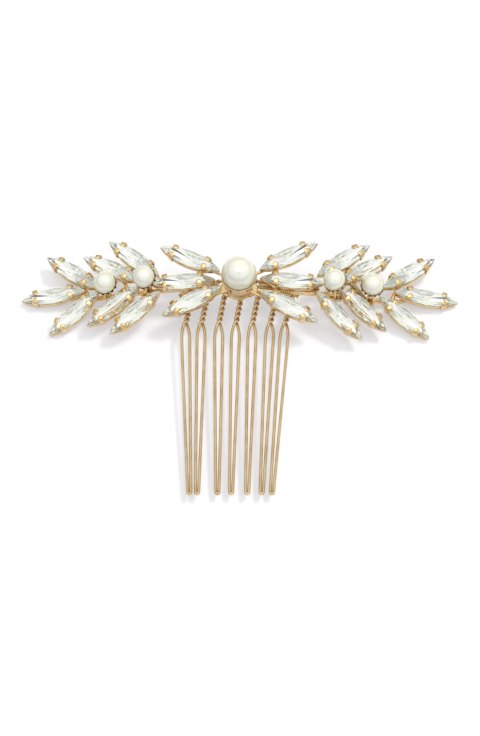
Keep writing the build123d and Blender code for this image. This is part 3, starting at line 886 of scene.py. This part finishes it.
# ---- table and light ---------------------------------------------------------------------------
TABLE_HALF = 3.0                # metres
TABLE_GLOW = 0.4
SKY_LIGHT = 1.0
HORIZON_LIGHT = 0.35
SKY_RISE = (0.05, 0.62)         # sines of the heights between which the sky brightens
OVERHEAD = (0, -0.08, 1)
OVERHEAD_LIGHT = 1.3
OVERHEAD_EDGE = (0.42, 0.22)    # radians from its middle at which its light begins and is full
LENS_LIGHT = 0.12
LENS_EDGE = (0.2, 0.12)
KEY_WAY = (0.5, 0.32, 1.0)
KEY_DISTANCE = 0.8              # metres
KEY_SIZE = 0.16
KEY_POWER = 3.3
KEY_COLOUR = (1, 0.975, 0.935)


def add_table():
    """A wide white table top under the comb."""
    mesh = bpy.data.meshes.new("table")
    near, far = -TABLE_HALF, TABLE_HALF
    mesh.from_pydata([(near, near, 0), (far, near, 0), (far, far, 0), (near, far, 0)], [], [(0, 1, 2, 3)])
    mesh.materials.append(table_paper())
    table = bpy.data.objects.new("table", mesh)
    bpy.context.collection.objects.link(table)


def add_key_light():
    """A square soft box that looks at the comb from a direction, and isn't itself mirrored in it."""
    data = bpy.data.lights.new("key", "AREA")
    data.size = KEY_SIZE
    data.energy = KEY_POWER
    data.color = KEY_COLOUR
    light = bpy.data.objects.new("key", data)
    way = Vector(KEY_WAY).normalized()
    light.location = way * KEY_DISTANCE
    light.rotation_mode = "QUATERNION"
    light.rotation_quaternion = way.to_track_quat("Z", "Y")
    light.visible_glossy = False
    light.visible_transmission = False
    bpy.context.collection.objects.link(light)


def blend_value(tree, value, low, high, out_low, out_high):
    """Smooth step of a value from one level to another."""
    step = tree.nodes.new("ShaderNodeMapRange")
    step.interpolation_type = "SMOOTHSTEP"
    tree.links.new(value, step.inputs["Value"])
    for label, number in (("From Min", low), ("From Max", high), ("To Min", out_low), ("To Max", out_high)):
        step.inputs[label].default_value = number
    return step.outputs["Result"]


def near_direction(tree, where, way):
    """Cosine of the angle between the looked-at direction and a given one."""
    dot = tree.nodes.new("ShaderNodeVectorMath")
    dot.operation = "DOT_PRODUCT"
    tree.links.new(where, dot.inputs[0])
    dot.inputs[1].default_value = Vector(way).normalized()
    return dot.outputs["Value"]


def add_world():
    """Studio tent: white sky, greyer towards the horizon, a brighter cloth overhead and a dark opening."""
    world = bpy.data.worlds.new("studio")
    bpy.context.scene.world = world
    world.use_nodes = True
    tree = world.node_tree
    where = tree.nodes.new("ShaderNodeTexCoord").outputs["Generated"]
    height = near_direction(tree, where, (0, 0, 1))
    sky = blend_value(tree, height, *SKY_RISE, HORIZON_LIGHT, SKY_LIGHT)
    lamp = blend_value(tree, near_direction(tree, where, OVERHEAD), *np.cos(OVERHEAD_EDGE), 0, OVERHEAD_LIGHT)
    tilt = math.radians(VIEW_TILT)
    lens = near_direction(tree, where, (0, -math.cos(tilt), math.sin(tilt)))
    hole = blend_value(tree, lens, *np.cos(LENS_EDGE), 1, LENS_LIGHT)
    added = tree.nodes.new("ShaderNodeMath")
    tree.links.new(sky, added.inputs[0])
    tree.links.new(lamp, added.inputs[1])
    strength = tree.nodes.new("ShaderNodeMath")
    strength.operation = "MULTIPLY"
    tree.links.new(added.outputs[0], strength.inputs[0])
    tree.links.new(hole, strength.inputs[1])
    tree.nodes["Background"].inputs["Color"].default_value = (1, 1, 1, 1)
    tree.links.new(strength.outputs[0], tree.nodes["Background"].inputs["Strength"])


add_table()
add_key_light()
add_world()
bpy.context.scene.cycles.max_bounces = 24          # light crosses a stone's facets many times
bpy.context.scene.cycles.glossy_bounces = 16
bpy.context.scene.cycles.transmission_bounces = 16
bpy.context.scene.view_settings.view_transform = "Standard"
